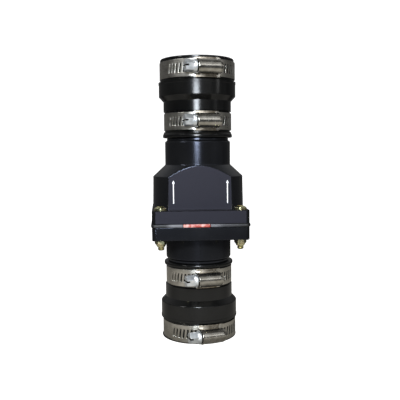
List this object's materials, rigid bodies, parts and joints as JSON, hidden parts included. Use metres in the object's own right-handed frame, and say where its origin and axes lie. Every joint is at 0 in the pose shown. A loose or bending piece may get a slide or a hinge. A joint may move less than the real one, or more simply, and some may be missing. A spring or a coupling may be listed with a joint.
{
  "type": "check valve",
  "caption": "Swing check valve: bolted ABS housings over a weighted rubber flapper, with a clamped reducing rubber coupling for discharge pipe at each end.",
  "frame": {"origin": "centre of the inlet coupling's mouth, at the bottom rim", "axes": "+Z along the flow, from inlet to outlet; -Y out of the flat front panel, which is on the flapper's hinge side"},
  "size_m": [0.0722, 0.0771, 0.212],
  "materials": {
    "coupling_rubber": "moulded black rubber, satin",
    "abs_body": "moulded black ABS, satin",
    "gasket_rubber": "die-cut black rubber",
    "flapper_rubber": "moulded red rubber",
    "stainless_plate": "stamped stainless steel",
    "brass_rivet": "upset brass",
    "yellow_zinc_steel": "yellow zinc plated steel",
    "clamp_band": "rolled stainless strip",
    "clamp_housing": "pressed stainless sheet",
    "clamp_screw": "bright zinc plated steel"
  },
  "bodies": {
    "body": {"inlet_sleeve": "coupling_rubber", "outlet_sleeve": "coupling_rubber", "inlet_housing": "abs_body", "outlet_housing": "abs_body", "flange_gasket": "gasket_rubber", "flapper_hinge_web": "flapper_rubber", "flapper_tab": "flapper_rubber", "flange_bolts": "yellow_zinc_steel", "flange_nuts": "yellow_zinc_steel", "outlet_pipe_clamp_band": "clamp_band", "outlet_pipe_clamp_housing": "clamp_housing", "outlet_body_clamp_band": "clamp_band", "outlet_body_clamp_housing": "clamp_housing", "inlet_body_clamp_band": "clamp_band", "inlet_body_clamp_housing": "clamp_housing", "inlet_pipe_clamp_band": "clamp_band", "inlet_pipe_clamp_housing": "clamp_housing"},
    "flapper": {"flapper_disc": "flapper_rubber", "flapper_weight": "stainless_plate", "flapper_backing": "stainless_plate", "flapper_rivet": "brass_rivet"},
    "outlet_pipe_clamp_screw": {"outlet_pipe_clamp_screw": "clamp_screw"},
    "outlet_body_clamp_screw": {"outlet_body_clamp_screw": "clamp_screw"},
    "inlet_body_clamp_screw": {"inlet_body_clamp_screw": "clamp_screw"},
    "inlet_pipe_clamp_screw": {"inlet_pipe_clamp_screw": "clamp_screw"}
  },
  "joints": [
    {"name": "flapper_swing", "type": "hinge", "parent": "body", "child": "flapper", "pos_m": [0, -0.0212, 0.0894], "axis": [1, 0, 0], "range_deg": [0, 70], "deforming": ["flapper_hinge_web"]},
    {"name": "outlet_pipe_clamp_screw_turn", "type": "hinge", "parent": "body", "child": "outlet_pipe_clamp_screw", "pos_m": [0.00727, -0.03278, 0.20295], "axis": [0.9763, 0.2164, 0], "continuous": true},
    {"name": "outlet_body_clamp_screw_turn", "type": "hinge", "parent": "body", "child": "outlet_body_clamp_screw", "pos_m": [0.00664, -0.02995, 0.16505], "axis": [0.9763, 0.2164, 0], "continuous": true},
    {"name": "inlet_body_clamp_screw_turn", "type": "hinge", "parent": "body", "child": "inlet_body_clamp_screw", "pos_m": [0.00656, -0.02961, 0.04875], "axis": [0.9763, 0.2164, 0], "continuous": true},
    {"name": "inlet_pipe_clamp_screw_turn", "type": "hinge", "parent": "body", "child": "inlet_pipe_clamp_screw", "pos_m": [0.00831, -0.03212, 0.00725], "axis": [0.9681, 0.2504, 0], "continuous": true}
  ]
}
